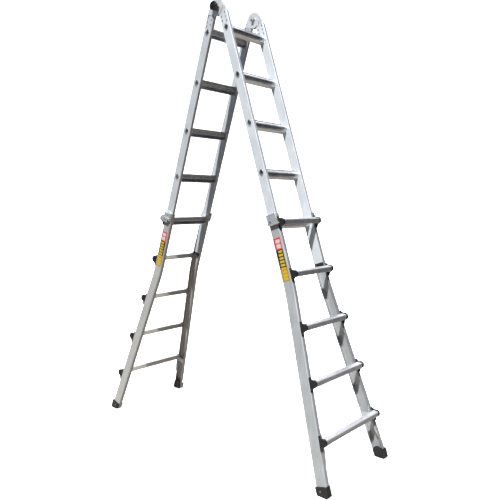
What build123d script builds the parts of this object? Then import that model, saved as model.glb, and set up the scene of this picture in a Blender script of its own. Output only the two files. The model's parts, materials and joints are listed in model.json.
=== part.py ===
"""Multi position ladder: two hinged inner sections, each with a telescoping flared outer section.

Row frame: +Z up, origin on the floor under the hinge.  X runs along the hinge axis and the rungs.
The front leg stands towards -Y and the rear leg towards +Y.  Left is -X, right is +X.

Each leg is drawn in its own frame: local X across, local Y up the leg to the hinge axis, and
local Z out of the climbing side.  "Depth" below is a distance down the leg from the hinge axis.
"""
from build123d import *

import os
from math import cos, radians, sin, sqrt, tan

# ---------------------------------------------------------------- driving dimensions, mm
RUNG_PITCH = 304.8             # 12 in rung spacing
RUNGS_PER_SECTION = 5
HALF_ANGLE = 17.6              # each leg from vertical, standing as a stepladder
LEG_LENGTH = 2838.0            # hinge axis to sole, down the leg
FIRST_RUNG = RUNG_PITCH / 2    # so the spacing carries on across the hinge when opened straight
RAIL_OFFSET = 34.0             # hinge axis to rail centre line

# inner section: closed box rails
INNER_FACE = 187.0             # half the width over the inner rails
INNER_THICK = 22.0
INNER_DEPTH = 60.6
INNER_WALL = 1.8
INNER_CORNER = 3.0
INNER_TOP = 54.0
INNER_END = 1631.0
CAP_HEIGHT = 20.0
CAP_PLUG = 22.0

# outer section: C-channel rails that wrap the inner ones
OUTER_FACE = 191.4             # half the width over the outer rails, above the flare
OUTER_THICK = 27.4
OUTER_DEPTH = 66.6
OUTER_WALL = 2.3
OUTER_CHAMFER = 5.0
OUTER_TOP = 1320.0
OUTER_END_GAP = 18.0           # rail end above the sole
FLARE_START = 1753.0
FLARE_ANGLE = 7.32
FLARE_RADIUS = 800.0

# inner rung: swaged hollow diamond core between two flanges
BORE_HALF_WIDTH = 13.8
BORE_HALF_HEIGHT = 22.2
BORE_CORNER = 5.5
CORE_WALL = 1.8
RIM_WIDTH = 2.6
RIM_HEIGHT = 1.2
FLANGE_FRONT = 3.5             # ahead of the rail centre line
FLANGE_BACK = -25.0
FLANGE_FRONT_HALF = 24.0       # half the height over both flanges
FLANGE_BACK_HALF = 28.2
FLANGE_THICK = 2.6
FLANGE_LIP = 6.6
FLANGE_STEM = 4.0

# outer rung: square tube, turned so that the tread lies nearly level in use
OUTER_RUNG_PITCH = 301.0       # along the bent rail
OUTER_RUNG_GROOVES = (-9.0, -6.0, -3.0, 0.0, 3.0, 6.0, 9.0)
OUTER_RUNG_GROOVE_WIDTH = 1.2
OUTER_RUNG_SIZE = 33.0
OUTER_RUNG_WALL = 1.8
OUTER_RUNG_CORNER = 6.0
OUTER_RUNG_TURN = 25.0
OUTER_RUNG_STANDOFF = 54.0     # rail centre line to rung centre
OUTER_RUNG_DROP = 4.0          # below the lowest inner rung

# rung bracket
BRACKET_WIDTH = 13.0
BRACKET_NOSE = 22.0
BRACKET_UP = 37.0
BRACKET_DOWN = 42.0
BRACKET_END_WALL = 3.4

# brace beside the lowest rung
BRACE_SHEET = 2.0
BRACE_UP = 50.0
BRACE_STRAIGHT = 50.0
BRACE_DOWN = 134.0
BRACE_EAR = 15.0
BRACE_CLAMP = 15.0
BRACE_DEEP = 14.0              # how far the ears reach into the channel

# shoe
SHOE_WALL = 3.0
SHOE_TOP = 2786.0
SHOE_CLEARANCE = 0.1
SHOE_HEEL = 0.6                # keeps the folded shoes apart
SHOE_TOE_BEVEL = (12.0, 10.0)
SHOE_HEEL_BEVEL = (5.0, 4.0)
BOSS_RADIUS = 29.0
BOSS_THICK = 8.0
BOSS_RISE = 42.0               # boss centre above the sole, along the leg
BOSS_RING = (11.0, 8.0, 1.5)   # outer and inner radius, depth of the ring in its face

# hinge: plate layers are distances inward from the inner rail's outer face
FRONT_LOBE = 45.0
REAR_DISC = 50.0
HINGE_PLATE = 4.0
FRONT_LAYERS = (1.8, 16.2)     # front leg plates, flat
REAR_LAYERS = (-2.6, 20.6)     # rear leg discs, one outside each front plate
TONGUE_LAYERS = (1.8, 16.2)    # where the rear plates step back into their rails
TONGUE_END = 131.0
TONGUE_HALF = 27.2
PIVOT_RADIUS = 12.0
PIVOT_BORE = 5.1
LOCK_CIRCLE = 21.5
LOCK_PIN_RADIUS = 3.5
LOCK_PIN_ANGLES = (70.0, 190.0)
FOLD_ANGLE = -34.0             # hinge travel to the folded lock
STRAIGHT_ANGLE = 180.0 - 2 * HALF_ANGLE
SPINDLE_HEAD = 16.0
SPINDLE_HEAD_HEIGHT = 2.4
SPACER_RADIUS = 17.0
END_CLEARANCE = 0.2            # between the plates and the spindle's heads
KNOB_RADIUS = 26.0
KNOB_FLUTES = 12
KNOB_RING = (17.0, 11.0)       # outer and inner radius of the ring sunk in its face
KNOB_START = -37.0             # knob, cross plate and rod are layers too
FORK_START = -14.0
FORK_THICK = 3.0
FORK_HUB = 12.0
FORK_ARM = 9.0
ROD_END = 45.0
ROD_SEAT = 12.0                # rod length held inside the knob
CLIP_RADIUS = 10.0
CLIP_START = ROD_END - 5.0
CLIP_THICK = 3.0

# hinge rivets: distance out from the hinge axis, depth
RIVET_PLACES = (
    (RAIL_OFFSET + 16, 64),
    (RAIL_OFFSET + 16, 91),
    (RAIL_OFFSET + 16, 118),
    (RAIL_OFFSET - 16, 77),
    (RAIL_OFFSET - 16, 105),
)
RIVET_SHANK = 2.6
RIVET_HEAD = 4.6
RIVET_HEAD_HEIGHT = 1.2

# telescoping lock
LOWEST_INNER_RUNG = FIRST_RUNG + (RUNGS_PER_SECTION - 1) * RUNG_PITCH
LOCK_DEPTH = LOWEST_INNER_RUNG - 9.0    # the pin bears on the upper side of the rung's bore
LOCK_TRAVEL = 7.0
LOCK_BOX_HEIGHT = 15.0
LOCK_BOX_WALL = 1.5
LOCK_BOX_WIDTH = 56.6
LOCK_BOX_LENGTH = 52.0
LOCK_BOX_FOOT = 4.0
LOCK_BOX_RISE = 18.6           # box centre above the pin
LOCK_SPINDLE_RADIUS = 5.5
LOCK_COLLAR_START = LOCK_TRAVEL + 0.6
LOCK_COLLAR_THICK = 1.4
LOCK_COLLAR_RADIUS = 9.0
TAB_START = LOCK_BOX_HEIGHT + LOCK_TRAVEL + 0.3
TAB_SHEET = 2.5
TAB_ABOVE = 12.0               # tab edge above the pin
TAB_BELOW = 14.4               # roll centre below the pin
TAB_INNER = -20.0              # tab ends, from the rail centre line
TAB_OUTER = 52.0
TAB_ROLL = 6.5
TAB_ROLL_WALL = 2.0

LEG_SIN = sin(radians(HALF_ANGLE))
LEG_COS = cos(radians(HALF_ANGLE))
PIVOT_HEIGHT = LEG_LENGTH * LEG_COS - RAIL_OFFSET * LEG_SIN

FRONT = Plane(origin=(0, 0, PIVOT_HEIGHT), x_dir=(1, 0, 0), z_dir=(0, -LEG_COS, LEG_SIN))
REAR = Plane(origin=(0, 0, PIVOT_HEIGHT), x_dir=(-1, 0, 0), z_dir=(0, LEG_COS, LEG_SIN))
LEGS = {"front": FRONT, "rear": REAR}

os.makedirs("parts", exist_ok=True)


# ---------------------------------------------------------------- helpers
def save(piece, name):
    """Label a finished piece and write its STEP file."""
    piece.label = name
    export_step(piece, f"parts/{name}.step")


def place(piece, name, leg):
    """Move a piece from its leg's own frame to the row frame and write it."""
    save(piece.moved(LEGS[leg].location), name)


def side_name(leg, side):
    """Row-frame name of a local side, -1 or +1; the rear leg faces the other way."""
    across = side if leg == "front" else -side
    return "left" if across < 0 else "right"


def across_rail(x, depth):
    """Sketch plane square to the leg: sketch X across, sketch Y outward, extrudes down the leg."""
    return Plane(origin=(x, -depth, RAIL_OFFSET), x_dir=(1, 0, 0), z_dir=(0, -1, 0))


def along_x(x, depth=0.0, outward=0.0):
    """Sketch plane facing +X: sketch X outward, sketch Y down the leg."""
    return Plane(origin=(x, -depth, outward), x_dir=(0, 0, 1), z_dir=(1, 0, 0))


def layer(side, start, thickness):
    """Lowest X of a layer that begins `start` inward of the inner rail's outer face."""
    near, far = INNER_FACE - start, INNER_FACE - start - thickness
    return far if side > 0 else -near


def lock_layer(side, start, thickness):
    """Lowest X of a layer that begins `start` outward of the outer rail's web."""
    return OUTER_FACE + start if side > 0 else -OUTER_FACE - start - thickness


def inner_rung_depth(index):
    return FIRST_RUNG + index * RUNG_PITCH


def outer_face_at(depth):
    """Half the width over the outer rails at a depth down the leg."""
    return OUTER_FACE + max(0.0, depth - FLARE_START) * tan(radians(FLARE_ANGLE))


def outer_rung_depth(index):
    """Rungs are one pitch apart along the bent rail, so a little less down the leg."""
    straight = LOWEST_INNER_RUNG + OUTER_RUNG_DROP + index * OUTER_RUNG_PITCH
    past_bend = max(0.0, straight - FLARE_START)
    return straight - past_bend * (1 - cos(radians(FLARE_ANGLE)))


def coil(radius, wire, turns, length):
    """Compression spring along +X from the origin, made of a swept helix."""
    with BuildPart() as spring:
        with BuildLine() as path:
            Helix(pitch=length / turns, height=length, radius=radius, direction=(1, 0, 0))
        with BuildSketch(Plane(origin=path.line @ 0, z_dir=path.line % 0)):
            Circle(wire / 2)
        sweep(path=path.line, is_frenet=True)
    return spring.part


# ---------------------------------------------------------------- inner section
def bore_outline(grow):
    """Rounded diamond opening of the hollow rung core, grown by an offset."""
    with BuildSketch() as outline:
        Polygon(
            (-BORE_HALF_WIDTH, 0),
            (0, -BORE_HALF_HEIGHT),
            (BORE_HALF_WIDTH, 0),
            (0, BORE_HALF_HEIGHT),
        )
        fillet(outline.vertices(), BORE_CORNER)
        offset(amount=grow)
    return outline.sketch


def inner_rail(side):
    """Closed box rail, bored through for the five rungs and the hinge rivets."""
    centre = side * (INNER_FACE - INNER_THICK / 2)
    low_face = centre - INNER_THICK / 2
    with BuildPart() as rail:
        with BuildSketch(across_rail(centre, INNER_TOP)):
            RectangleRounded(INNER_THICK, INNER_DEPTH, INNER_CORNER)
            RectangleRounded(
                INNER_THICK - 2 * INNER_WALL,
                INNER_DEPTH - 2 * INNER_WALL,
                INNER_CORNER - INNER_WALL,
                mode=Mode.SUBTRACT,
            )
        extrude(amount=INNER_END - INNER_TOP)
        rung_planes = [
            along_x(low_face - 1, inner_rung_depth(i), RAIL_OFFSET) for i in range(RUNGS_PER_SECTION)
        ]
        with BuildSketch(*rung_planes):
            add(bore_outline(CORE_WALL))
        extrude(amount=INNER_THICK + 2, mode=Mode.SUBTRACT)
        with BuildSketch(along_x(low_face - 1)):
            with Locations(*RIVET_PLACES):
                Circle(RIVET_SHANK)
        extrude(amount=INNER_THICK + 2, mode=Mode.SUBTRACT)
    return rail.part


def inner_rung(index):
    """Hollow diamond core between two flanges, machined back at its ends and swaged through the rails."""
    inside = INNER_FACE - INNER_THICK
    depth = inner_rung_depth(index)
    front, front_half = FLANGE_FRONT, FLANGE_FRONT_HALF
    back, back_half = FLANGE_BACK, FLANGE_BACK_HALF
    core_tip = BORE_HALF_HEIGHT - BORE_CORNER
    with BuildPart() as rung:
        with BuildSketch(along_x(-inside, depth, RAIL_OFFSET)):
            Polygon(
                (front, front_half - FLANGE_THICK),
                (front, front_half),
                (back, back_half),
                (back, back_half - FLANGE_LIP),
                (back + FLANGE_THICK, back_half - FLANGE_LIP),
                (back + FLANGE_THICK, back_half - FLANGE_THICK),
                align=None,
            )
            with Locations((0, (core_tip + front_half) / 2)):
                Rectangle(FLANGE_STEM, front_half - core_tip)
            mirror(about=Plane.XZ)
            add(bore_outline(CORE_WALL))
            add(bore_outline(0), mode=Mode.SUBTRACT)
        extrude(amount=2 * inside)
        with BuildSketch(along_x(-INNER_FACE, depth, RAIL_OFFSET)):
            add(bore_outline(CORE_WALL))
            add(bore_outline(0), mode=Mode.SUBTRACT)
        extrude(amount=2 * INNER_FACE)
        for x in (-INNER_FACE - RIM_HEIGHT, INNER_FACE):
            with BuildSketch(along_x(x, depth, RAIL_OFFSET)):
                add(bore_outline(CORE_WALL + RIM_WIDTH))
                add(bore_outline(0), mode=Mode.SUBTRACT)
            extrude(amount=RIM_HEIGHT)
    return rung.part


def inner_end_caps():
    """Plastic plugs in the lower ends of both inner rails."""
    with BuildPart() as caps:
        for side in (-1, 1):
            centre = side * (INNER_FACE - INNER_THICK / 2)
            with BuildSketch(across_rail(centre, INNER_END)):
                RectangleRounded(INNER_THICK - 0.4, INNER_DEPTH - 0.4, INNER_CORNER)
            extrude(amount=CAP_HEIGHT)
            plug_width = INNER_THICK - 2 * INNER_WALL - 0.2
            plug_depth = INNER_DEPTH - 2 * INNER_WALL - 0.2
            with BuildSketch(across_rail(centre, INNER_END - CAP_PLUG)):
                RectangleRounded(plug_width, plug_depth, INNER_CORNER - INNER_WALL)
                RectangleRounded(plug_width - 5, plug_depth - 8, 1, mode=Mode.SUBTRACT)
            extrude(amount=CAP_PLUG)
    return caps.part


# ---------------------------------------------------------------- hinge
def hinge_outline(end, radius):
    """Round lobe about the axis that blends into a tongue as wide as the rail's inside."""
    tongue_inner = RAIL_OFFSET - TONGUE_HALF
    tongue_outer = RAIL_OFFSET + TONGUE_HALF
    with BuildSketch() as outline:
        Circle(radius)
        Polygon(
            (0, 0),
            (0.96 * radius, -0.28 * radius),
            (tongue_outer, min(end, 60)),
            (tongue_outer, end),
            (tongue_inner, end),
            (tongue_inner, 40),
            align=None,
        )
    return outline.sketch


def lock_holes(angles, radius):
    """Holes for the lock pins at each given hinge angle, on the lock circle."""
    with BuildSketch() as holes:
        for turn in angles:
            with PolarLocations(LOCK_CIRCLE, 1, start_angle=turn):
                Circle(radius)
    return holes.sketch


def front_pin_angles():
    """Where the rear leg's two lock pins meet the front plates: folded, stepladder and straight."""
    stations = (FOLD_ANGLE, 0.0, STRAIGHT_ANGLE)
    rest = [180 + 2 * HALF_ANGLE - angle for angle in LOCK_PIN_ANGLES]
    return [angle + turn for angle in rest for turn in stations]


def front_hinge_plates():
    """Two flat plates at each side, inside the front leg's box rails."""
    with BuildPart() as plates:
        for side in (-1, 1):
            for start in FRONT_LAYERS:
                with BuildSketch(along_x(layer(side, start, HINGE_PLATE))):
                    add(hinge_outline(TONGUE_END, FRONT_LOBE))
                    Circle(PIVOT_RADIUS, mode=Mode.SUBTRACT)
                    with Locations(*RIVET_PLACES):
                        Circle(RIVET_SHANK, mode=Mode.SUBTRACT)
                    if start == FRONT_LAYERS[0]:
                        add(lock_holes(front_pin_angles(), LOCK_PIN_RADIUS + 0.1), mode=Mode.SUBTRACT)
                extrude(amount=HINGE_PLATE)
    return plates.part


def rear_hinge_plates():
    """Two plates at each side whose discs step outside the front plates."""
    step_start, step_end = 47.0, INNER_TOP - 0.5
    with BuildPart() as plates:
        for side in (-1, 1):
            for disc, tongue in zip(REAR_LAYERS, TONGUE_LAYERS):
                with BuildSketch(along_x(layer(side, disc, HINGE_PLATE))):
                    add(hinge_outline(step_end, REAR_DISC))
                    Circle(PIVOT_RADIUS + 0.05, mode=Mode.SUBTRACT)
                    if disc == REAR_LAYERS[0]:
                        add(lock_holes(LOCK_PIN_ANGLES, LOCK_PIN_RADIUS + 0.05), mode=Mode.SUBTRACT)
                extrude(amount=HINGE_PLATE)
                with BuildSketch(along_x(layer(side, tongue, HINGE_PLATE))):
                    with Locations((RAIL_OFFSET, (step_start + TONGUE_END) / 2)):
                        Rectangle(2 * TONGUE_HALF, TONGUE_END - step_start)
                    with Locations(*RIVET_PLACES):
                        Circle(RIVET_SHANK, mode=Mode.SUBTRACT)
                extrude(amount=HINGE_PLATE)
                start = min(disc, tongue)
                reach = abs(tongue - disc) + HINGE_PLATE
                with BuildSketch(along_x(layer(side, start, reach))):
                    with Locations((RAIL_OFFSET, (step_start + step_end) / 2)):
                        Rectangle(2 * TONGUE_HALF, step_end - step_start)
                extrude(amount=reach)
    return plates.part


def hinge_rivets():
    """Five rivets through each rail top and its two tongues."""
    with BuildPart() as rivets:
        for side in (-1, 1):
            for start, radius, length in (
                (-RIVET_HEAD_HEIGHT, RIVET_HEAD, RIVET_HEAD_HEIGHT),
                (0, RIVET_SHANK, INNER_THICK),
                (INNER_THICK, RIVET_HEAD, RIVET_HEAD_HEIGHT),
            ):
                with BuildSketch(along_x(layer(side, start, length))):
                    with Locations(*RIVET_PLACES):
                        Circle(radius)
                extrude(amount=length)
    return rivets.part


def hinge_pivots():
    """Hollow spindles that carry all four plates of each hinge, headed at both ends."""
    outer_end = REAR_LAYERS[0] - END_CLEARANCE
    inner_end = REAR_LAYERS[1] + HINGE_PLATE + END_CLEARANCE
    spacer_start = FRONT_LAYERS[0] + HINGE_PLATE
    steps = (
        (outer_end - SPINDLE_HEAD_HEIGHT, SPINDLE_HEAD, SPINDLE_HEAD_HEIGHT),
        (outer_end, PIVOT_RADIUS, inner_end - outer_end),
        (spacer_start, SPACER_RADIUS, FRONT_LAYERS[1] - spacer_start),
        (inner_end, SPINDLE_HEAD, SPINDLE_HEAD_HEIGHT),
    )
    with BuildPart() as pivots:
        for side in (-1, 1):
            for start, radius, length in steps:
                with BuildSketch(along_x(layer(side, start, length))):
                    Circle(radius)
                    Circle(PIVOT_BORE, mode=Mode.SUBTRACT)
                extrude(amount=length)
    return pivots.part


def hinge_knob(side):
    """Fluted plastic knob on the outer end of the lock rod."""
    length = FORK_START - KNOB_START
    with BuildPart() as knob:
        with BuildSketch(along_x(layer(side, KNOB_START, length))):
            Circle(KNOB_RADIUS)
            with PolarLocations(KNOB_RADIUS + 1.4, KNOB_FLUTES):
                Circle(2.6, mode=Mode.SUBTRACT)
        extrude(amount=length)
        rim = knob.faces().sort_by(Axis.X)[-1 if side > 0 else 0]
        chamfer(rim.outer_wire().edges(), 2)
        with BuildSketch(along_x(layer(side, KNOB_START, 2))):
            Circle(KNOB_RING[0])
            Circle(KNOB_RING[1], mode=Mode.SUBTRACT)
        extrude(amount=2, mode=Mode.SUBTRACT)
        with BuildSketch(along_x(layer(side, FORK_START - ROD_SEAT, ROD_SEAT))):
            Circle(PIVOT_BORE - 0.1)
        extrude(amount=ROD_SEAT, mode=Mode.SUBTRACT)
    return knob.part


def hinge_lock(side):
    """Rod through the spindle, with a cross plate under the knob that carries two lock pins."""
    pin_tip = REAR_LAYERS[0] + HINGE_PLATE - 0.3
    rod_start = FORK_START - ROD_SEAT
    with BuildPart() as lock:
        with BuildSketch(along_x(layer(side, rod_start, ROD_END - rod_start))):
            Circle(PIVOT_BORE - 0.1)
        extrude(amount=ROD_END - rod_start)
        with BuildSketch(along_x(layer(side, FORK_START, FORK_THICK))):
            Circle(FORK_HUB)
            for angle in LOCK_PIN_ANGLES:
                with PolarLocations(LOCK_CIRCLE / 2, 1, start_angle=angle):
                    Rectangle(LOCK_CIRCLE, FORK_ARM)
                with PolarLocations(LOCK_CIRCLE, 1, start_angle=angle):
                    Circle(FORK_ARM / 2)
        extrude(amount=FORK_THICK)
        with BuildSketch(along_x(layer(side, FORK_START, pin_tip - FORK_START))):
            for angle in LOCK_PIN_ANGLES:
                with PolarLocations(LOCK_CIRCLE, 1, start_angle=angle):
                    Circle(LOCK_PIN_RADIUS)
        extrude(amount=pin_tip - FORK_START)
        with BuildSketch(along_x(layer(side, CLIP_START, CLIP_THICK))):
            Circle(CLIP_RADIUS)
        extrude(amount=CLIP_THICK)
    return lock.part


def hinge_springs():
    """Coils round the inner ends of the lock rods, which draw the knobs in."""
    wire, gap = 1.6, 0.5
    seat = REAR_LAYERS[1] + HINGE_PLATE + END_CLEARANCE + SPINDLE_HEAD_HEIGHT
    start = seat + gap + wire / 2
    length = CLIP_START - gap - wire / 2 - start
    spring = coil(7.2, wire, 5, length)
    return Compound(children=[spring.moved(Location((layer(side, start, length), 0, 0))) for side in (-1, 1)])


# ---------------------------------------------------------------- outer section
def channel_outline(side, grow=0.0):
    """C section with chamfered web corners, open towards the other rail."""
    half = OUTER_DEPTH / 2 + grow
    tip = -OUTER_THICK - grow
    cut = OUTER_CHAMFER
    inside = half - OUTER_WALL - 2 * grow
    inner_cut = cut - OUTER_WALL * (2 - sqrt(2))
    web = -OUTER_WALL - grow
    upper = [
        (grow, half - cut),
        (grow - cut, half),
        (tip, half),
        (tip, inside),
        (web - inner_cut, inside),
        (web, inside - inner_cut),
    ]
    lower = [(x, -y) for x, y in reversed(upper)]
    points = [(side * x, y) for x, y in upper + lower]
    with BuildSketch() as outline:
        with BuildLine():
            Polyline(*points, close=True)
        make_face()
    return outline.sketch


def outer_rail_solid(side, grow=0.0, start=OUTER_TOP, end=None):
    """Channel swept down the straight run, round the bend and out along the flare."""
    end = end or LEG_LENGTH - OUTER_END_GAP
    bottom_x = outer_face_at(end)
    with BuildPart() as rail:
        if start < FLARE_START:
            with BuildLine(Plane.XY.offset(RAIL_OFFSET)) as path:
                FilletPolyline(
                    (side * OUTER_FACE, -start),
                    (side * OUTER_FACE, -FLARE_START),
                    (side * bottom_x, -end),
                    radius=FLARE_RADIUS,
                )
        else:
            with BuildLine(Plane.XY.offset(RAIL_OFFSET)) as path:
                Line((side * outer_face_at(start), -start), (side * bottom_x, -end))
        slope = path.line % 0
        profile_plane = Plane(origin=path.line @ 0, x_dir=Vector(0, 0, 1).cross(slope), z_dir=slope)
        with BuildSketch(profile_plane):
            add(channel_outline(side, grow))
        sweep(path=path.line)
    return rail.part


def outer_rail(side):
    """One flared outer rail with the bore for its lock pin."""
    with BuildPart() as rail:
        add(outer_rail_solid(side))
        with BuildSketch(along_x(side * OUTER_FACE - 10, LOCK_DEPTH, RAIL_OFFSET)):
            Circle(LOCK_SPINDLE_RADIUS + 0.1)
        extrude(amount=20, mode=Mode.SUBTRACT)
    return rail.part


def outer_rung_length(index):
    return 2 * (outer_face_at(outer_rung_depth(index)) - BRACKET_END_WALL)


def outer_rung_solid(index):
    """Square bar in the outer rung's place, turned to its tread angle."""
    length = outer_rung_length(index)
    centre = RAIL_OFFSET + OUTER_RUNG_STANDOFF
    with BuildPart() as bar:
        with BuildSketch(along_x(-length / 2, outer_rung_depth(index), centre)):
            with Locations(Rotation(0, 0, OUTER_RUNG_TURN)):
                RectangleRounded(OUTER_RUNG_SIZE, OUTER_RUNG_SIZE, OUTER_RUNG_CORNER)
        extrude(amount=length)
    return bar.part


def outer_rung(index):
    """Hollow square rung with grip grooves in its tread and front face."""
    length = outer_rung_length(index)
    centre = RAIL_OFFSET + OUTER_RUNG_STANDOFF
    hollow = OUTER_RUNG_SIZE - 2 * OUTER_RUNG_WALL
    with BuildPart() as rung:
        add(outer_rung_solid(index))
        with BuildSketch(along_x(-length / 2, outer_rung_depth(index), centre)):
            with Locations(Rotation(0, 0, OUTER_RUNG_TURN)):
                RectangleRounded(hollow, hollow, OUTER_RUNG_CORNER - OUTER_RUNG_WALL)
                for place in OUTER_RUNG_GROOVES:
                    with Locations((place, -OUTER_RUNG_SIZE / 2), (OUTER_RUNG_SIZE / 2, place)):
                        Rectangle(OUTER_RUNG_GROOVE_WIDTH, OUTER_RUNG_GROOVE_WIDTH)
        extrude(amount=length, mode=Mode.SUBTRACT)
    return rung.part


def rung_bracket(side, index):
    """Plastic saddle on the rail's front flange that holds one end of an outer rung."""
    depth = outer_rung_depth(index)
    face = OUTER_DEPTH / 2 + 0.05
    lean = side * (FLARE_ANGLE if depth > FLARE_START else 0)
    with BuildPart() as bracket:
        with BuildSketch(along_x(-BRACKET_WIDTH / 2)):
            with BuildLine():
                nose_top = (OUTER_RUNG_STANDOFF + 6, -BRACKET_NOSE + 1)
                nose_low = (OUTER_RUNG_STANDOFF + 6, BRACKET_NOSE - 1)
                Line((face, -BRACKET_UP), (face, BRACKET_DOWN))
                Line((face, BRACKET_DOWN), (face + 5, BRACKET_DOWN))
                Spline((face + 5, BRACKET_DOWN), (face + 13, 26), nose_low)
                ThreePointArc(nose_low, (OUTER_RUNG_STANDOFF + BRACKET_NOSE, 0), nose_top)
                Spline(nose_top, (face + 13, -25), (face + 5, -BRACKET_UP))
                Line((face + 5, -BRACKET_UP), (face, -BRACKET_UP))
            make_face()
        extrude(amount=BRACKET_WIDTH)
    centre = side * (outer_face_at(depth) - BRACKET_WIDTH / 2 - 0.2)
    with BuildPart() as placed:
        add(bracket.part.moved(Location((centre, -depth, RAIL_OFFSET), (0, 0, lean))))
        add(outer_rung_solid(index), mode=Mode.SUBTRACT)
    return placed.part


def rung_brackets():
    """All ten saddles of one outer section."""
    pieces = [rung_bracket(side, i) for i in range(RUNGS_PER_SECTION) for side in (-1, 1)]
    return Compound(children=pieces)


def rung_brace(side):
    """Sheet clamp across the channel mouth beside the lowest rung, with one tapered ear standing out of it."""
    depth = outer_rung_depth(RUNGS_PER_SECTION - 1)
    tip = outer_face_at(depth) - OUTER_THICK
    half = OUTER_DEPTH / 2 - OUTER_WALL - 0.2
    with BuildPart() as brace:
        with BuildSketch(Plane.XY.offset(half - BRACE_SHEET)):
            Polygon(
                (BRACE_DEEP, BRACE_UP),
                (-1, BRACE_UP),
                (-BRACE_EAR, BRACE_UP / 2),
                (-BRACE_EAR, -BRACE_STRAIGHT),
                (-BRACE_EAR + 4, -2 * BRACE_STRAIGHT),
                (-1, -BRACE_DOWN),
                (BRACE_DEEP, -BRACE_DOWN),
                align=None,
            )
        extrude(amount=BRACE_SHEET)
        with BuildSketch(Plane.XY.offset(-half)):
            Polygon(
                (BRACE_DEEP, BRACE_UP),
                (0, BRACE_UP),
                (0, -BRACE_DOWN),
                (BRACE_DEEP, -BRACE_DOWN),
                align=None,
            )
        extrude(amount=BRACE_SHEET)
        with BuildSketch(Plane.YZ):
            Rectangle(2 * BRACE_CLAMP, 2 * half)
        extrude(amount=BRACE_SHEET)
    piece = brace.part if side > 0 else brace.part.mirror(Plane.YZ)
    return piece.moved(Location((side * tip, -depth, RAIL_OFFSET), (0, 0, side * FLARE_ANGLE)))


def rung_braces():
    return Compound(children=[rung_brace(side) for side in (-1, 1)])


def floor_depth(outward):
    """Depth down the leg where it meets the floor, at a distance out from the hinge axis."""
    return (PIVOT_HEIGHT + LEG_SIN * outward) / LEG_COS


def shoe(side):
    """Moulded boot round the rail's end: level sole, bevelled toe and heel, round boss on its inner side."""
    toe = RAIL_OFFSET + OUTER_DEPTH / 2 + SHOE_WALL
    heel = SHOE_HEEL
    toe_run, toe_rise = SHOE_TOE_BEVEL
    heel_run, heel_rise = SHOE_HEEL_BEVEL
    ring_outer, ring_inner, ring_depth = BOSS_RING
    outer = outer_face_at(LEG_LENGTH) + SHOE_WALL
    width = outer - outer_face_at(SHOE_TOP) + OUTER_THICK + SHOE_WALL
    with BuildPart() as boot:
        with BuildSketch(along_x(outer - width if side > 0 else -outer)):
            Polygon(
                (heel, SHOE_TOP),
                (toe, SHOE_TOP),
                (toe, floor_depth(toe) - toe_rise),
                (toe - toe_run, floor_depth(toe - toe_run)),
                (heel + heel_run, floor_depth(heel + heel_run)),
                (heel, floor_depth(heel) - heel_rise),
                align=None,
            )
        extrude(amount=width)
        fillet(boot.edges().filter_by(Axis.Y), 3)
        inner_side = outer - width
        for radius, hole, height in (
            (BOSS_RADIUS, 0, BOSS_THICK - ring_depth),
            (BOSS_RADIUS, ring_outer, BOSS_THICK),
            (ring_inner, 0, BOSS_THICK),
        ):
            boss_x = inner_side - height if side > 0 else -inner_side
            with BuildSketch(along_x(boss_x, LEG_LENGTH - BOSS_RISE, RAIL_OFFSET)):
                Circle(radius)
                if hole:
                    Circle(hole, mode=Mode.SUBTRACT)
            extrude(amount=height)
        add(outer_rail_solid(side, SHOE_CLEARANCE, SHOE_TOP - 40), mode=Mode.SUBTRACT)
    return boot.part


# ---------------------------------------------------------------- telescoping locks
def lock_boxes():
    """Pressed steel housings on the webs of both outer rails, open below."""
    inner_height = LOCK_BOX_HEIGHT - LOCK_BOX_WALL
    foot_width = LOCK_BOX_WIDTH + 2 * LOCK_BOX_FOOT
    centre = LOCK_DEPTH - LOCK_BOX_RISE
    with BuildPart() as boxes:
        for side in (-1, 1):
            for width, height in ((LOCK_BOX_WIDTH, LOCK_BOX_HEIGHT), (foot_width, LOCK_BOX_WALL)):
                with BuildSketch(along_x(lock_layer(side, 0, height), centre, RAIL_OFFSET)):
                    RectangleRounded(width, LOCK_BOX_LENGTH, 2)
                extrude(amount=height)
            with BuildSketch(along_x(lock_layer(side, 0, inner_height), centre + LOCK_BOX_WALL, RAIL_OFFSET)):
                Rectangle(LOCK_BOX_WIDTH - 2 * LOCK_BOX_WALL, LOCK_BOX_LENGTH)
            extrude(amount=inner_height, mode=Mode.SUBTRACT)
            with BuildSketch(along_x(lock_layer(side, 0, LOCK_BOX_HEIGHT), LOCK_DEPTH, RAIL_OFFSET)):
                Circle(LOCK_SPINDLE_RADIUS + 0.1)
            extrude(amount=LOCK_BOX_HEIGHT, mode=Mode.SUBTRACT)
    return boxes.part


def lock_tab(side):
    """Bent steel finger tab, rolled along its lower edge, fixed to the head of the lock pin."""
    width = TAB_OUTER - TAB_INNER
    with BuildPart() as tab:
        with BuildSketch(along_x(lock_layer(side, TAB_START, TAB_SHEET), LOCK_DEPTH, RAIL_OFFSET)):
            with Locations(((TAB_INNER + TAB_OUTER) / 2, (TAB_BELOW - TAB_ABOVE) / 2)):
                Rectangle(width, TAB_ABOVE + TAB_BELOW)
            Circle(LOCK_SPINDLE_RADIUS - 1.5, mode=Mode.SUBTRACT)
        extrude(amount=TAB_SHEET)
        upper_corners = tab.edges().filter_by(Axis.X).group_by(Axis.Y)[-1]
        fillet(upper_corners, TAB_ROLL)
        roll_x = side * (OUTER_FACE + TAB_START + TAB_SHEET - TAB_ROLL)
        roll = Plane(origin=(roll_x, -LOCK_DEPTH - TAB_BELOW, RAIL_OFFSET + TAB_INNER), z_dir=(0, 0, 1))
        with BuildSketch(roll):
            Circle(TAB_ROLL)
            Circle(TAB_ROLL - TAB_ROLL_WALL, mode=Mode.SUBTRACT)
        extrude(amount=width)
    return tab.part


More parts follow.
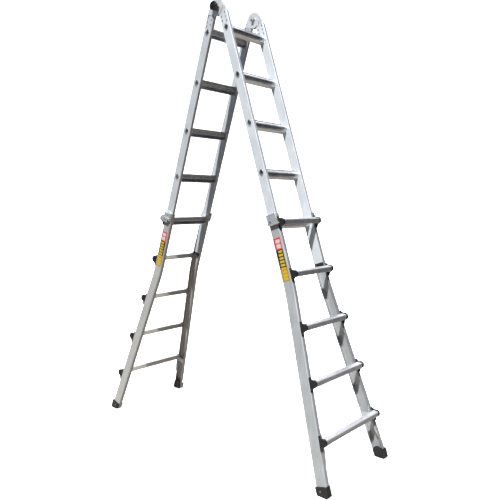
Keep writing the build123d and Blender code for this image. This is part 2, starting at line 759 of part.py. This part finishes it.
def lock_pin(side):
    """Lock pin that slides through the box and the web, with its spring collar and tab head."""
    tip = 0.1 - OUTER_WALL
    with BuildPart() as pin:
        for start, radius, length in (
            (tip, LOCK_SPINDLE_RADIUS, TAB_START - tip),
            (LOCK_COLLAR_START, LOCK_COLLAR_RADIUS, LOCK_COLLAR_THICK),
            (TAB_START, LOCK_SPINDLE_RADIUS - 1.6, TAB_SHEET),
            (TAB_START + TAB_SHEET, 6.5, 2.0),
        ):
            with BuildSketch(along_x(lock_layer(side, start, length), LOCK_DEPTH, RAIL_OFFSET)):
                Circle(radius)
            extrude(amount=length)
    return pin.part


def lock_springs():
    """Coils between the pin collars and the lock boxes."""
    wire = 1.0
    start = LOCK_COLLAR_START + LOCK_COLLAR_THICK + wire
    length = LOCK_BOX_HEIGHT - LOCK_BOX_WALL - start - wire
    spring = coil(7.4, wire, 1.75, length)
    places = [Location((lock_layer(side, start, length), -LOCK_DEPTH, RAIL_OFFSET)) for side in (-1, 1)]
    return Compound(children=[spring.moved(spot) for spot in places])


# ---------------------------------------------------------------- build and place every piece
for leg in LEGS:
    for side in (-1, 1):
        where = side_name(leg, side)
        place(inner_rail(side), f"{leg}_inner_rail_{where}", leg)
        place(outer_rail(side), f"{leg}_outer_rail_{where}", leg)
        place(shoe(side), f"{leg}_shoe_{where}", leg)
        place(lock_tab(side), f"{leg}_lock_tab_{where}", leg)
        place(lock_pin(side), f"{leg}_lock_pin_{where}", leg)
    for number in range(RUNGS_PER_SECTION):
        place(inner_rung(number), f"{leg}_inner_rung_{number + 1}", leg)
        place(outer_rung(number), f"{leg}_outer_rung_{number + 1}", leg)
    place(inner_end_caps(), f"{leg}_inner_end_caps", leg)
    place(hinge_rivets(), f"{leg}_hinge_rivets", leg)
    place(rung_brackets(), f"{leg}_rung_brackets", leg)
    place(rung_braces(), f"{leg}_rung_braces", leg)
    place(lock_boxes(), f"{leg}_lock_boxes", leg)
    place(lock_springs(), f"{leg}_lock_springs", leg)

place(front_hinge_plates(), "front_hinge_plates", "front")
place(rear_hinge_plates(), "rear_hinge_plates", "rear")
place(hinge_pivots(), "hinge_pivots", "front")
place(hinge_springs(), "hinge_springs", "rear")
for side in (-1, 1):
    where = side_name("rear", side)
    place(hinge_knob(side), f"hinge_knob_{where}", "rear")
    place(hinge_lock(side), f"hinge_lock_{where}", "rear")
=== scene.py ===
import json
from math import cos, pi, radians, sin, tan

import bmesh
import bpy
from mathutils import Matrix, Vector


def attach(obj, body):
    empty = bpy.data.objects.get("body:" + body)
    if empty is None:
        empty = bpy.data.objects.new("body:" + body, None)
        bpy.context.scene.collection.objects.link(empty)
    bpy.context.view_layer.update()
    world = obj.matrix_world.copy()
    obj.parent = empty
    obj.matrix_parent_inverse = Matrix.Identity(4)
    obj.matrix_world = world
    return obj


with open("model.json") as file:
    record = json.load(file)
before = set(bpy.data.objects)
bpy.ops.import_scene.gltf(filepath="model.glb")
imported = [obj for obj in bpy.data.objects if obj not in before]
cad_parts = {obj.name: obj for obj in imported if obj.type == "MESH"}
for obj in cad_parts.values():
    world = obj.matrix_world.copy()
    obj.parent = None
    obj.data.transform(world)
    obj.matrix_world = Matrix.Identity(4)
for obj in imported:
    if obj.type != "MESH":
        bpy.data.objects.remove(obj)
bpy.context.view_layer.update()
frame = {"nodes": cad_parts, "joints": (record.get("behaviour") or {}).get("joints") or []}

# ---------------------------------------------------------------- dimensions, metres
# Sizes of the CAD, repeated here. Depths run down the leg from the hinge axis.
HALF_ANGLE = radians(17.6)
HINGE = Vector(next(j["pos_m"] for j in frame["joints"] if j["name"] == "hinge_fold"))
RAIL_OFFSET = 0.034
OUTER_FACE = 0.1914
FLARE_START = 1.753
FLARE_SLOPE = tan(radians(7.32))
LEG_LENGTH = 2.838
LEG_TILT = {"front": HALF_ANGLE, "rear": -HALF_ANGLE}


def leg_matrix(leg):
    """Leg frame: X as in the world, Y out of the climbing side, Z up the leg, origin on the hinge."""
    up = Vector((0, sin(LEG_TILT[leg]), cos(LEG_TILT[leg])))
    out = Vector((0, -cos(HALF_ANGLE), sin(HALF_ANGLE)))
    if leg == "rear":
        out = Vector((0, cos(HALF_ANGLE), sin(HALF_ANGLE)))
    turn = Matrix((Vector((1, 0, 0)), out, up)).transposed()
    return Matrix.Translation(HINGE) @ turn.to_4x4()


def web_x(depth):
    """Half the width over the outer rails at a depth down the leg."""
    return OUTER_FACE + max(0.0, depth - FLARE_START) * FLARE_SLOPE


# ---------------------------------------------------------------- node helpers
class Nodes:
    """Short spelling for building a material's node tree."""

    def __init__(self, name):
        self.material = bpy.data.materials.new(name)
        self.material.use_nodes = True
        self.tree = self.material.node_tree
        self.shader = self.tree.nodes["Principled BSDF"]

    def node(self, kind, **settings):
        made = self.tree.nodes.new(kind)
        for key, value in settings.items():
            setattr(made, key, value)
        return made

    def link(self, source, target):
        self.tree.links.new(source, target)

    def put(self, socket, value):
        """Links a socket, or sets a plain value."""
        if isinstance(value, bpy.types.NodeSocket):
            self.link(value, socket)
        else:
            socket.default_value = value

    def coordinates(self, tilt=0.0, stretch=(1, 1, 1)):
        place = self.node("ShaderNodeTexCoord")
        mapping = self.node("ShaderNodeMapping")
        mapping.inputs["Rotation"].default_value = (tilt, 0, 0)
        mapping.inputs["Scale"].default_value = stretch
        self.link(place.outputs["Object"], mapping.inputs["Vector"])
        return mapping.outputs["Vector"]

    def noise(self, vector, scale, detail=3.0, roughness=0.55):
        made = self.node("ShaderNodeTexNoise")
        made.inputs["Scale"].default_value = scale
        made.inputs["Detail"].default_value = detail
        made.inputs["Roughness"].default_value = roughness
        self.link(vector, made.inputs["Vector"])
        return made.outputs["Fac"]

    def span(self, value, low, high, to_low=0.0, to_high=1.0):
        made = self.node("ShaderNodeMapRange")
        limits = {"From Min": low, "From Max": high, "To Min": to_low, "To Max": to_high}
        for name, number in limits.items():
            made.inputs[name].default_value = number
        self.put(made.inputs["Value"], value)
        return made.outputs["Result"]

    def math(self, operation, a, b):
        made = self.node("ShaderNodeMath", operation=operation)
        self.put(made.inputs[0], a)
        self.put(made.inputs[1], b)
        return made.outputs[0]

    def mix(self, factor, a, b, blend="MIX"):
        made = self.node("ShaderNodeMix", data_type="RGBA", blend_type=blend)
        self.put(made.inputs["Factor"], factor)
        self.put(made.inputs["A"], a if isinstance(a, bpy.types.NodeSocket) else (*a, 1))
        self.put(made.inputs["B"], b if isinstance(b, bpy.types.NodeSocket) else (*b, 1))
        return made.outputs["Result"]

    def axis(self, vector, letter):
        made = self.node("ShaderNodeSeparateXYZ")
        self.link(vector, made.inputs[0])
        return made.outputs[letter]

    def bump(self, height, strength, distance, normal=None):
        made = self.node("ShaderNodeBump")
        made.inputs["Strength"].default_value = strength
        made.inputs["Distance"].default_value = distance
        self.link(height, made.inputs["Height"])
        if normal:
            self.link(normal, made.inputs["Normal"])
        return made.outputs["Normal"]

    def soft_edge(self, radius):
        made = self.node("ShaderNodeBevel", samples=4)
        made.inputs["Radius"].default_value = radius
        return made.outputs["Normal"]

    def finish(self, color, roughness, metallic, normal=None):
        plain = not isinstance(color, bpy.types.NodeSocket)
        self.put(self.shader.inputs["Base Color"], (*color, 1) if plain else color)
        self.put(self.shader.inputs["Roughness"], roughness)
        self.shader.inputs["Metallic"].default_value = metallic
        if normal:
            self.link(normal, self.shader.inputs["Normal"])
        return self.material


# ---------------------------------------------------------------- materials
def extruded(name, tilt, along, light, dark, roughness, edge=0.0006, metallic=0.42):
    """Satin extruded aluminium: die lines along one axis, cloudy oxide, rubbed patches and fine scuffs."""
    n = Nodes(name)
    stretch = {"leg": (420, 420, 2.2), "x": (2.2, 420, 420)}[along]
    lines = n.noise(n.coordinates(tilt, stretch), 1.0, 2.0)
    broad = {"leg": (55, 55, 0.9), "x": (0.9, 55, 55)}[along]
    bands = n.noise(n.coordinates(tilt, broad), 1.0, 2.0)
    cloud = n.noise(n.coordinates(tilt), 9.0, 5.0, 0.6)
    speck = n.noise(n.coordinates(tilt), 260.0, 2.0)
    color = n.mix(n.span(cloud, 0.3, 0.7), dark, light)
    color = n.mix(n.span(bands, 0.35, 0.7, 0.0, 0.16), color, (0.97, 0.985, 1.0), "SOFT_LIGHT")
    color = n.mix(n.span(lines, 0.35, 0.65, 0.0, 0.10), color, (0.25, 0.25, 0.27))
    scuff = n.span(n.noise(n.coordinates(tilt, (30, 30, 12)), 1.0, 6.0, 0.75), 0.62, 0.72, 0.0, 0.14)
    color = n.mix(scuff, color, (0.93, 0.94, 0.95))
    streaks = n.span(lines, 0.3, 0.7, roughness - 0.05, roughness + 0.06)
    rough = n.math("ADD", streaks, n.span(cloud, 0.3, 0.7, -0.04, 0.05))
    height = n.math("ADD", lines, n.math("MULTIPLY", speck, 0.25))
    normal = n.bump(height, 0.10, 0.0004, n.soft_edge(edge))
    return n.finish(color, rough, metallic, normal)


def moulded(name, color, sheen_color, roughness, grain=900.0, edge=0.0009):
    """Moulded plastic or rubber: fine texture, faint flow marks and dust in patches."""
    n = Nodes(name)
    place = n.coordinates()
    fine = n.noise(place, grain, 3.0)
    flow = n.noise(n.coordinates(0, (1, 1, 0.4)), 28.0, 4.0)
    tone = n.mix(n.span(flow, 0.35, 0.7), color, sheen_color)
    dust = n.span(n.noise(place, 14.0, 6.0, 0.7), 0.55, 0.8, 0.0, 0.16)
    tone = n.mix(dust, tone, (0.11, 0.105, 0.10))
    grain_rough = n.span(fine, 0.3, 0.7, roughness - 0.06, roughness + 0.06)
    rough = n.math("ADD", grain_rough, n.math("MULTIPLY", dust, 0.5))
    return n.finish(tone, rough, 0.0, n.bump(fine, 0.22, 0.0003, n.soft_edge(edge)))


def plated(name, light, dark, roughness, metallic=0.55, edge=0.0006):
    """Zinc plated pressed steel: spangle, a darker tint in patches, softened edges."""
    n = Nodes(name)
    place = n.coordinates()
    cells = n.node("ShaderNodeTexVoronoi")
    cells.inputs["Scale"].default_value = 130.0
    n.link(place, cells.inputs["Vector"])
    spangle = n.axis(cells.outputs["Color"], "X")
    cloud = n.noise(place, 32.0, 5.0, 0.65)
    color = n.mix(n.span(cloud, 0.3, 0.7), dark, light)
    color = n.mix(n.span(spangle, 0, 1, 0.0, 0.18), color, light)
    color = n.mix(n.span(n.noise(place, 18.0, 3.0), 0.52, 0.72, 0.0, 0.25), color, [0.8 * c for c in light])
    crystal = n.span(spangle, 0, 1, roughness - 0.04, roughness + 0.06)
    rough = n.math("ADD", crystal, n.span(cloud, 0.3, 0.7, -0.05, 0.05))
    normal = n.bump(n.noise(place, 420.0, 3.0), 0.12, 0.0002, n.soft_edge(edge))
    return n.finish(color, rough, metallic, normal)


# Inner rail tones per leg, as (light, dark), of one and the same aluminium, with painted light and shade:
# the front leg's are painted lighter and bluer as painted sky light, the rear leg's darker as painted
# shade.
INNER_TONES_PAINTED_LIGHT = {
    "front": ((0.76, 0.81, 0.85), (0.65, 0.69, 0.73)),
    "rear": ((0.63, 0.66, 0.69), (0.54, 0.565, 0.59)),
}
# Outer rail tones per leg, as (light, dark), of the same aluminium: the rear leg's are painted warmer, a
# painted reflection of the warm ground, and the front leg's bluer, a painted sky reflection.
OUTER_TONES_PAINTED_LIGHT = {
    "front": ((0.45, 0.47, 0.49), (0.39, 0.41, 0.42)),
    "rear": ((0.47, 0.475, 0.47), (0.40, 0.405, 0.40)),
}
RUNG_TONES = ((0.74, 0.75, 0.77), (0.60, 0.60, 0.61))
# Outer rung tube tones per leg, as (light, dark), of the same aluminium: the rear leg's are painted lighter
# and warm beige, a painted reflection of the lit ground, and the front leg's darker and bluer, painted
# shade.
TUBE_TONES_PAINTED_LIGHT = {
    "front": ((0.62, 0.62, 0.66), (0.53, 0.53, 0.56)),
    "rear": ((0.80, 0.78, 0.73), (0.70, 0.68, 0.63)),
}
BRACE_TONES = ((0.72, 0.74, 0.78), (0.58, 0.60, 0.64))
looks = {}
for leg, lean in LEG_TILT.items():
    looks[leg, "inner"] = extruded(f"inner_rail_{leg}", lean, "leg", *INNER_TONES_PAINTED_LIGHT[leg], 0.48)
    looks[leg, "outer"] = extruded(f"outer_rail_{leg}", lean, "leg", *OUTER_TONES_PAINTED_LIGHT[leg], 0.50, 0.0004)
    looks[leg, "rung"] = extruded(f"rung_{leg}", lean, "x", *RUNG_TONES, 0.30, 0.0004, 0.72)
    looks[leg, "tube"] = extruded(f"tube_{leg}", lean, "x", *TUBE_TONES_PAINTED_LIGHT[leg], 0.36, 0.0004, 0.40)
    looks[leg, "brace"] = extruded(f"brace_{leg}", lean, "leg", *BRACE_TONES, 0.40, 0.0005)
BLACK = moulded("bracket_plastic", (0.008, 0.010, 0.008), (0.014, 0.016, 0.013), 0.46)
CAP = moulded("cap_plastic", (0.012, 0.012, 0.012), (0.018, 0.018, 0.018), 0.5)
RUBBER = moulded("shoe_rubber", (0.009, 0.010, 0.011), (0.018, 0.019, 0.020), 0.55, 600.0, 0.0015)
KNOB = moulded("knob_plastic", (0.006, 0.006, 0.007), (0.010, 0.010, 0.011), 0.28, 1200.0, 0.0008)
HINGE_STEEL = plated("hinge_zinc", (0.84, 0.85, 0.86), (0.76, 0.77, 0.78), 0.36)
LOCK_STEEL = plated("lock_zinc", (0.78, 0.80, 0.83), (0.68, 0.70, 0.73), 0.30, 0.70)
PIN_STEEL = plated("pin_steel", (0.66, 0.66, 0.67), (0.54, 0.54, 0.55), 0.28, 0.9)
RIVET = plated("rivet_aluminium", (0.40, 0.41, 0.43), (0.26, 0.27, 0.29), 0.42, 0.9)


def printed(name, color, worn):
    """Printed vinyl: flat ink with faint mottling, scuffed in small patches, under a satin film."""
    n = Nodes(name)
    place = n.coordinates()
    tone = n.mix(n.span(n.noise(place, 90.0, 3.0), 0.35, 0.7), color, [c * 0.86 for c in color])
    tone = n.mix(n.span(n.noise(place, 240.0, 5.0, 0.7), 0.60, 0.75, 0.0, 0.35), tone, worn)
    rough = n.span(n.noise(place, 60.0, 4.0), 0.3, 0.7, 0.30, 0.44)
    return n.finish(tone, rough, 0.0, n.bump(n.noise(place, 700.0, 2.0), 0.08, 0.0001))


def look_for(node):
    """Material of a CAD node: the first row whose key is in its name."""
    leg = "rear" if node.startswith("rear") else "front"
    table = (
        ("hinge_plates", HINGE_STEEL),
        ("hinge_rivets", RIVET),
        ("end_caps", CAP),
        ("brackets", BLACK),
        ("braces", looks[leg, "brace"]),
        ("shoe", RUBBER),
        ("lock_boxes", LOCK_STEEL),
        ("lock_tab", LOCK_STEEL),
        ("spring", PIN_STEEL),
        ("knob", KNOB),
        ("pivots", PIN_STEEL),
        ("hinge_lock", PIN_STEEL),
        ("lock_pin", PIN_STEEL),
        ("inner_rung", looks[leg, "rung"]),
        ("outer_rung", looks[leg, "tube"]),
        ("inner_rail", looks[leg, "inner"]),
        ("outer_rail", looks[leg, "outer"]),
    )
    return next(material for key, material in table if key in node)


for name, obj in frame["nodes"].items():
    obj.data.materials.clear()
    obj.data.materials.append(look_for(name))


# ---------------------------------------------------------------- small pieces that ride the sections
def piece(name, leg, part, build, *materials):
    """A mesh built in the leg frame that moves with that leg's inner or outer section."""
    mesh = bpy.data.meshes.new(name)
    bm = bmesh.new()
    build(bm)
    bmesh.ops.recalc_face_normals(bm, faces=bm.faces)
    bm.to_mesh(mesh)
    bm.free()
    for material in materials:
        mesh.materials.append(material)
    made = bpy.data.objects.new(name, mesh)
    bpy.context.scene.collection.objects.link(made)
    made.matrix_world = leg_matrix(leg)
    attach(made, f"{part}_{leg}")


def turned(bm, spot, axis, profile, segments=16):
    """Revolves (radius, height) points about an axis through a spot, closed at both ends."""
    turn = axis.to_track_quat("Z", "Y").to_matrix()
    angles = [2 * pi * k / segments for k in range(segments)]
    rings = []
    for radius, height in profile:
        points = [Vector((radius * cos(a), radius * sin(a), height)) for a in angles]
        rings.append([bm.verts.new(spot + turn @ point) for point in points])
    for low, high in zip(rings, rings[1:]):
        for k in range(segments):
            face = bm.faces.new((low[k - 1], low[k], high[k], high[k - 1]))
            face.smooth = True
    bm.faces.new(rings[0][::-1])
    bm.faces.new(rings[-1])


def dome(radius, height):
    """Profile of a pressed rivet head with a shallow dimple."""
    return (
        (radius, 0.0),
        (radius, 0.25 * height),
        (0.86 * radius, 0.72 * height),
        (0.6 * radius, 0.98 * height),
        (0.4 * radius, height),
        (0.26 * radius, 0.82 * height),
    )


def plaque(bm, x, low, high, top, bottom, thick, corner, material):
    """Thin rounded plate on the left web: outward from low to high, depth from top to bottom."""
    outline = []
    for cy, cz, start in (
        (high - corner, bottom - corner, 0),
        (low + corner, bottom - corner, 90),
        (low + corner, top + corner, 180),
        (high - corner, top + corner, 270),
    ):
        for step in range(5):
            a = radians(start + 22.5 * step)
            outline.append((cy + corner * cos(a), cz + corner * sin(a)))
    inner = [bm.verts.new((x, y, -z)) for y, z in outline]
    outer = [bm.verts.new((x - thick, y, -z)) for y, z in outline]
    faces = [bm.faces.new(inner), bm.faces.new(outer[::-1])]
    for k in range(len(outline)):
        faces.append(bm.faces.new((inner[k - 1], outer[k - 1], outer[k], inner[k])))
    for face in faces:
        face.material_index = material


LABEL_INKS = (
    printed("label_red", (0.56, 0.045, 0.055), (0.60, 0.30, 0.30)),
    printed("label_white", (0.50, 0.49, 0.48), (0.55, 0.20, 0.20)),
    printed("label_black", (0.012, 0.011, 0.011), (0.10, 0.09, 0.07)),
    printed("label_yellow", (0.52, 0.36, 0.03), (0.30, 0.20, 0.03)),
    printed("label_amber", (0.36, 0.20, 0.022), (0.42, 0.30, 0.08)),
)
RED, WHITE, DARK, YELLOW, AMBER = range(len(LABEL_INKS))
LABEL_LOW, LABEL_HIGH = RAIL_OFFSET - 0.025, RAIL_OFFSET + 0.022
LABEL_TOP, LABEL_SPLIT, LABEL_FADE, LABEL_BOTTOM = 1.456, 1.525, 1.630, 1.708
LABEL_VINYL, LABEL_INK = 0.00015, 0.0001
WHITE_BARS = ((LABEL_TOP + 0.010, LABEL_TOP + 0.031), (LABEL_TOP + 0.037, LABEL_SPLIT - 0.008))
BAR_LOW, BAR_HIGH = LABEL_LOW + 0.011, LABEL_HIGH - 0.006
YELLOW_ROWS = 9
YELLOW_START = LABEL_SPLIT + 0.005
YELLOW_PITCH = (LABEL_BOTTOM - LABEL_SPLIT - 0.008) / YELLOW_ROWS


def label(bm):
    """Red block with two white bars above a black strip that turns amber, with plain yellow bars."""

    def sheet(low, high, top, bottom, layer, corner, ink):
        start = -OUTER_FACE - LABEL_VINYL * min(layer, 1) - LABEL_INK * max(layer - 1, 0)
        plaque(bm, start, low, high, top, bottom, LABEL_INK if layer else LABEL_VINYL, corner, ink)

    sheet(LABEL_LOW, LABEL_HIGH, LABEL_TOP, LABEL_BOTTOM, 0, 0.002, DARK)
    sheet(LABEL_LOW, LABEL_HIGH, LABEL_TOP, LABEL_SPLIT, 1, 0.0015, RED)
    sheet(LABEL_LOW, LABEL_HIGH, LABEL_FADE, LABEL_BOTTOM, 1, 0.0015, AMBER)
    for top, bottom in WHITE_BARS:
        sheet(BAR_LOW, BAR_HIGH, top, bottom, 2, 0.004, WHITE)
    for row in range(YELLOW_ROWS):
        top = YELLOW_START + row * YELLOW_PITCH
        inset = 0.012 if row < 3 else 0.009
        fill = 0.68 if row < 6 else 0.84
        sheet(LABEL_LOW + inset, BAR_HIGH, top, top + fill * YELLOW_PITCH, 2, 0.002, YELLOW)


LOCK_BOX_CENTRE = 1.3440
LOCK_FOOT_FACE = OUTER_FACE + 0.0015
LOCK_RIVET_ACROSS, LOCK_RIVET_ALONG = 0.0303, 0.018
LOWEST_RUNG = 2.5729
BRACE_RIVETS = (-0.034, 0.040, 0.085)
BRACE_RIVET_INSET = 0.0205
FLANGE_FACE = 0.0333
SHOE_RIVET_DEPTH, SHOE_RIVET_ASIDE = 2.808, 0.0055
SHOE_FACE = web_x(LEG_LENGTH) + 0.003


def lock_rivets(bm):
    """Four small rivets through the feet of each lock box."""
    for side in (-1, 1):
        for across in (-LOCK_RIVET_ACROSS, LOCK_RIVET_ACROSS):
            for along in (-LOCK_RIVET_ALONG, LOCK_RIVET_ALONG):
                spot = Vector((side * LOCK_FOOT_FACE, RAIL_OFFSET + across, -LOCK_BOX_CENTRE - along))
                turned(bm, spot, Vector((side, 0, 0)), dome(0.0017, 0.0008), 12)


def brace_rivets(bm):
    """Rivets through both flanges into the brace."""
    for side in (-1, 1):
        for along in BRACE_RIVETS:
            for facing in (-1, 1):
                x = side * (web_x(LOWEST_RUNG + along) - BRACE_RIVET_INSET)
                spot = Vector((x, RAIL_OFFSET + facing * FLANGE_FACE, -LOWEST_RUNG - along))
                turned(bm, spot, Vector((0, facing, 0)), dome(0.0034, 0.0013))


def shoe_rivets(bm):
    """One rivet through the outer side of each shoe."""
    for side in (-1, 1):
        spot = Vector((side * SHOE_FACE, RAIL_OFFSET - SHOE_RIVET_ASIDE, -SHOE_RIVET_DEPTH))
        turned(bm, spot, Vector((side, 0, 0)), dome(0.0048, 0.0016))


for leg in LEG_TILT:
    piece(f"{leg}_label", leg, "outer", label, *LABEL_INKS)
    piece(f"{leg}_lock_rivets", leg, "outer", lock_rivets, RIVET)
    piece(f"{leg}_brace_rivets", leg, "outer", brace_rivets, RIVET)
    piece(f"{leg}_shoe_rivets", leg, "outer", shoe_rivets, RIVET)


# ---------------------------------------------------------------- stage and light
STAGE_TONE = (0.9, 0.9, 0.9)
FLOOR_RADIUS, BACKDROP_RADIUS = 60, 62
FLOOR_GAP = 0.0005


def stage_piece(name, build):
    """White stage surface: it shows to the camera but neither lights the metal nor shades it."""
    mesh = bpy.data.meshes.new(name)
    bm = bmesh.new()
    build(bm)
    bm.to_mesh(mesh)
    bm.free()
    made = bpy.data.objects.new(name, mesh)
    bpy.context.scene.collection.objects.link(made)
    n = Nodes(name)
    shade = n.span(n.noise(n.coordinates(), 1.5, 4.0), 0.3, 0.7)
    n.finish(n.mix(shade, STAGE_TONE, [c * 0.98 for c in STAGE_TONE]), 0.9, 0.0)
    n.shader.inputs["Emission Color"].default_value = (1, 1, 1, 1)
    n.shader.inputs["Emission Strength"].default_value = 1.0
    mesh.materials.append(n.material)
    for flag in ("visible_diffuse", "visible_glossy", "visible_transmission", "visible_shadow"):
        setattr(made, flag, False)
    return made


floor = stage_piece(
    "floor",
    lambda bm: bmesh.ops.create_circle(bm, cap_ends=True, segments=96, radius=FLOOR_RADIUS),
)
floor.location.z = -FLOOR_GAP
stage_piece(
    "backdrop",
    lambda bm: bmesh.ops.create_uvsphere(bm, u_segments=48, v_segments=24, radius=BACKDROP_RADIUS),
)

# Surroundings by height, 0 straight down to 1 straight up: warm ground, dark horizon, blue sky.
SKY = (
    (0.00, (0.42, 0.37, 0.31)),
    (0.15, (0.32, 0.285, 0.24)),
    (0.27, (0.14, 0.13, 0.12)),
    (0.34, (0.05, 0.056, 0.06)),
    (0.49, (0.045, 0.052, 0.058)),
    (0.54, (0.12, 0.14, 0.17)),
    (0.70, (0.14, 0.18, 0.26)),
    (1.00, (0.12, 0.17, 0.27)),
)
# Strength of the surroundings toward the front leg's side and toward the rear leg's side.
FRONT_DIM, BACK_BRIGHT = 0.35, 1.5

world = bpy.data.worlds.new("studio")
bpy.context.scene.world = world
world.use_nodes = True
sky = world.node_tree
direction = sky.nodes.new("ShaderNodeTexCoord")
split = sky.nodes.new("ShaderNodeSeparateXYZ")
sky.links.new(direction.outputs["Generated"], split.inputs[0])
height = sky.nodes.new("ShaderNodeMapRange")
height.inputs["From Min"].default_value = -1
sky.links.new(split.outputs["Z"], height.inputs["Value"])
ramp = sky.nodes.new("ShaderNodeValToRGB")
while len(ramp.color_ramp.elements) < len(SKY):
    ramp.color_ramp.elements.new(1.0)
for element, (place, color) in zip(ramp.color_ramp.elements, SKY):
    element.position = place
    element.color = (*color, 1)
sky.links.new(height.outputs["Result"], ramp.inputs["Fac"])
side = sky.nodes.new("ShaderNodeMapRange")
for socket, value in {"From Min": -1, "From Max": 1, "To Min": FRONT_DIM, "To Max": BACK_BRIGHT}.items():
    side.inputs[socket].default_value = value
sky.links.new(split.outputs["Y"], side.inputs["Value"])
shaded = sky.nodes.new("ShaderNodeVectorMath")
shaded.operation = "SCALE"
sky.links.new(ramp.outputs["Color"], shaded.inputs[0])
sky.links.new(side.outputs["Result"], shaded.inputs["Scale"])
sky.links.new(shaded.outputs["Vector"], sky.nodes["Background"].inputs["Color"])


def sun_light(name, toward, energy, spread, color):
    """Directional light that shines along a direction."""
    light = bpy.data.lights.new(name, "SUN")
    light.energy = energy
    light.angle = radians(spread)
    light.color = color
    lamp = bpy.data.objects.new(name, light)
    lamp.rotation_euler = Vector(toward).to_track_quat("-Z", "Y").to_euler()
    bpy.context.scene.collection.objects.link(lamp)


sun_light("key", (0.60, 0.18, -0.78), 6.6, 0.9, (1.0, 0.985, 0.96))
sun_light("fill", (-0.70, -0.58, -0.42), 2.0, 50, (0.95, 0.97, 1.0))

# Warm light back from the ground, strongest on the lower rungs.
bounce = bpy.data.lights.new("bounce", "AREA")
bounce.shape = "DISK"
bounce.size = 5.0
bounce.energy = 26.0
bounce.color = (1.0, 0.89, 0.74)
ground = bpy.data.objects.new("bounce", bounce)
ground.location = (0.3, 0, 0.001)
ground.rotation_euler = (pi, 0, 0)
ground.visible_camera = False
bpy.context.scene.collection.objects.link(ground)


# ---------------------------------------------------------------- camera
CAMERA_FROM_HINGE = Vector((-2.7029, -2.3460, -1.1801))
CAMERA_DROP, CAMERA_HEADING = 5.13, -45.37

camera_data = bpy.data.cameras.new("camera")
camera = bpy.data.objects.new("camera", camera_data)
camera.location = HINGE + CAMERA_FROM_HINGE
camera.rotation_euler = (radians(90 - CAMERA_DROP), 0, radians(CAMERA_HEADING))
camera_data.sensor_width = 36.0
camera_data.lens = 39.57
camera_data.shift_x = 0.0993
camera_data.shift_y = 0.0045
bpy.context.scene.collection.objects.link(camera)
bpy.context.scene.camera = camera
bpy.context.scene.view_settings.view_transform = "Standard"
